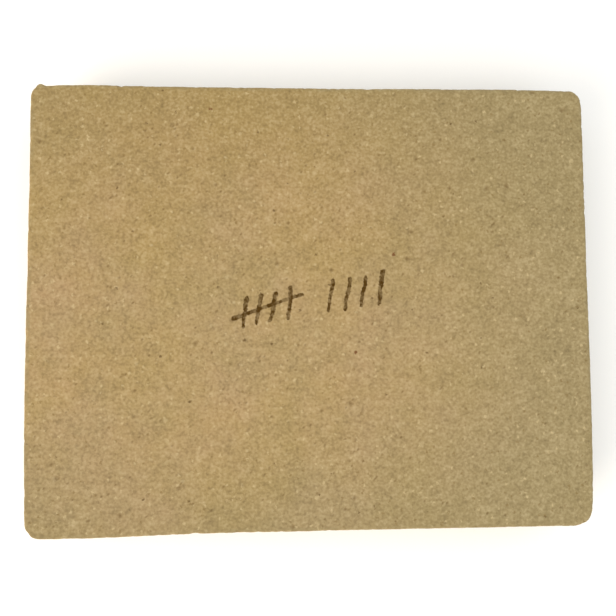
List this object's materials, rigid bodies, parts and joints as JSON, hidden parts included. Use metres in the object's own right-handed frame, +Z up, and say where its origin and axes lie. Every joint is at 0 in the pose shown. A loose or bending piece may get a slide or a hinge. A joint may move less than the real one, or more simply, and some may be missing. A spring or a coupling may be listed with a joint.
{
  "type": "refractory firebrick",
  "caption": "Flat rectangular fireclay plate with rounded corners and eased arrises, laid or stood up to line a stove's firebox.",
  "frame": {"origin": "middle of the bed face, the face the brick lies on", "axes": "+Z up through the thickness towards the face that shows, +X along the length, +Y across the width towards the back"},
  "size_m": [0.251, 0.1984, 0.03],
  "materials": {
    "fireclay": "matte"
  },
  "bodies": {
    "root": {"firebrick": "fireclay"}
  },
  "joints": []
}
